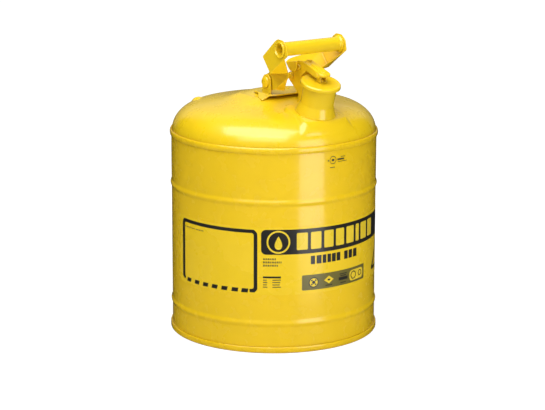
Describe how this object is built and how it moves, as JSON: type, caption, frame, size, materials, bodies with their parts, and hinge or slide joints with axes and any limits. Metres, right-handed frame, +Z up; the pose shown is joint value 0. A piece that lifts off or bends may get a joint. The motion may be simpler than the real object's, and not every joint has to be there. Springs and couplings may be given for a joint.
{
  "type": "safety gas can",
  "caption": "Round seamed-steel safety can for liquid fuel with a domed top, sprung spout cap on a lever, and a swinging carry handle with a tube grip.",
  "frame": {"origin": "centre of the circular foot ring, on the floor plane the can stands on", "axes": "+Z up along the can's axis, -Y toward the spout (the pouring side), +X to the right when the spout faces the viewer"},
  "size_m": [0.2986, 0.2986, 0.4344],
  "materials": {
    "enamel": "gloss",
    "zinc_plate": "satin",
    "gauze_steel": "matte",
    "spring_steel": "satin",
    "gasket_rubber": "matte",
    "decal_film": "gloss"
  },
  "bodies": {
    "can": {"side_shell": "enamel", "top_seam": "enamel", "bottom_seam": "enamel", "bottom_pan": "enamel", "dome_top": "enamel", "spout_neck": "enamel", "arrester_guard": "gauze_steel", "arrester_gauze": "gauze_steel", "arrester_collar": "zinc_plate", "handle_bracket": "enamel", "bracket_eyelets": "enamel", "handle_rivets": "enamel", "pivot_washers": "enamel", "lever_post": "enamel", "lever_pin": "enamel", "anchor_pin": "enamel", "closing_spring": "spring_steel", "front_decal": "decal_film"},
    "handle": {"handle_grip": "enamel", "handle_arm_left": "enamel", "handle_arm_right": "enamel"},
    "lid": {"cap_lever": "enamel", "cap_shell": "enamel", "cap_gasket": "gasket_rubber", "cap_clevis": "enamel", "cap_rivet": "enamel", "clevis_pin": "enamel"}
  },
  "joints": [
    {"name": "handle_swing", "type": "hinge", "parent": "can", "child": "handle", "pos_m": [0, -0.025, 0.3646], "axis": [-1, 0, 0], "range_deg": [0, 110]},
    {"name": "lid_open", "type": "hinge", "parent": "can", "child": "lid", "pos_m": [0, -0.0745, 0.3906], "axis": [-1, 0, 0], "range_deg": [0, 32], "stiffness_Nm_per_rad": 0.8, "springref_deg": -20.05}
  ]
}
